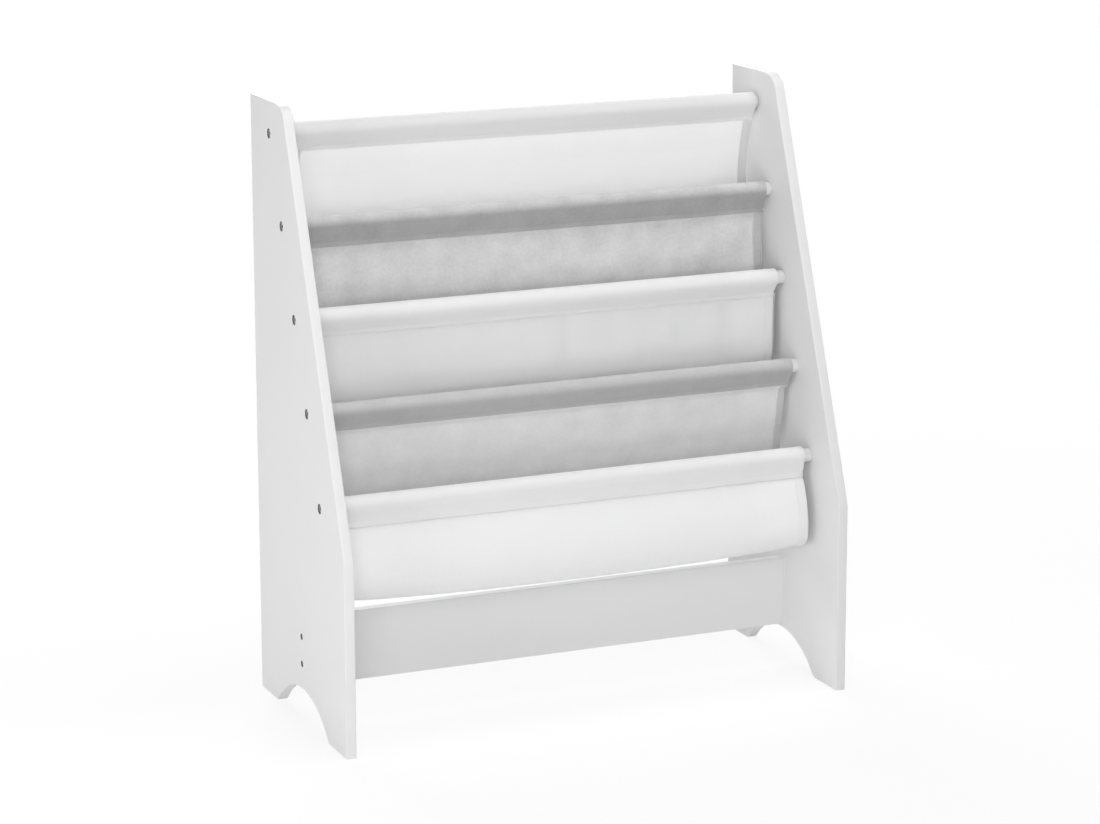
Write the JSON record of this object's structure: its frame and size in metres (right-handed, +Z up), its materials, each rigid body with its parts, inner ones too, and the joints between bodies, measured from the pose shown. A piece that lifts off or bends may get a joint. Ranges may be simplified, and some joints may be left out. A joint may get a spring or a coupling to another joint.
{
  "type": "sling bookshelf",
  "caption": "Child's sling bookshelf: sloping side panels on arched feet, round rails between them, a lower board, and cloth slings sewn into tiered book pockets.",
  "frame": {"origin": "on the floor, under the middle of the shelf's width and depth", "axes": "+X to the right seen from the front, +Y to the back, +Z up"},
  "size_m": [0.618, 0.286, 0.7],
  "materials": {
    "white_paint": "white painted fibreboard, satin, smooth, edges eased",
    "rail_paint": "white painted round wood, satin",
    "screw_steel": "zinc plated, with a hexagon socket",
    "white_cloth": "plain woven white canvas, matt, hemmed at its ends",
    "grey_cloth": "plain woven light grey canvas, matt, hemmed at its ends"
  },
  "bodies": {
    "root": {"left_side_panel": "white_paint", "right_side_panel": "white_paint", "rail_1": "rail_paint", "rail_2": "rail_paint", "rail_3": "rail_paint", "rail_4": "rail_paint", "rail_5": "rail_paint", "lower_board": "white_paint", "left_rail_screw_1": "screw_steel", "left_rail_screw_2": "screw_steel", "left_rail_screw_3": "screw_steel", "left_rail_screw_4": "screw_steel", "left_rail_screw_5": "screw_steel", "right_rail_screw_1": "screw_steel", "right_rail_screw_2": "screw_steel", "right_rail_screw_3": "screw_steel", "right_rail_screw_4": "screw_steel", "right_rail_screw_5": "screw_steel", "left_board_screw_1": "screw_steel", "left_board_screw_2": "screw_steel", "right_board_screw_1": "screw_steel", "right_board_screw_2": "screw_steel", "sling_1_white": "white_cloth", "sling_2_grey": "grey_cloth", "sling_3_white": "white_cloth", "sling_4_grey": "grey_cloth", "sling_5_white": "white_cloth"}
  },
  "joints": []
}
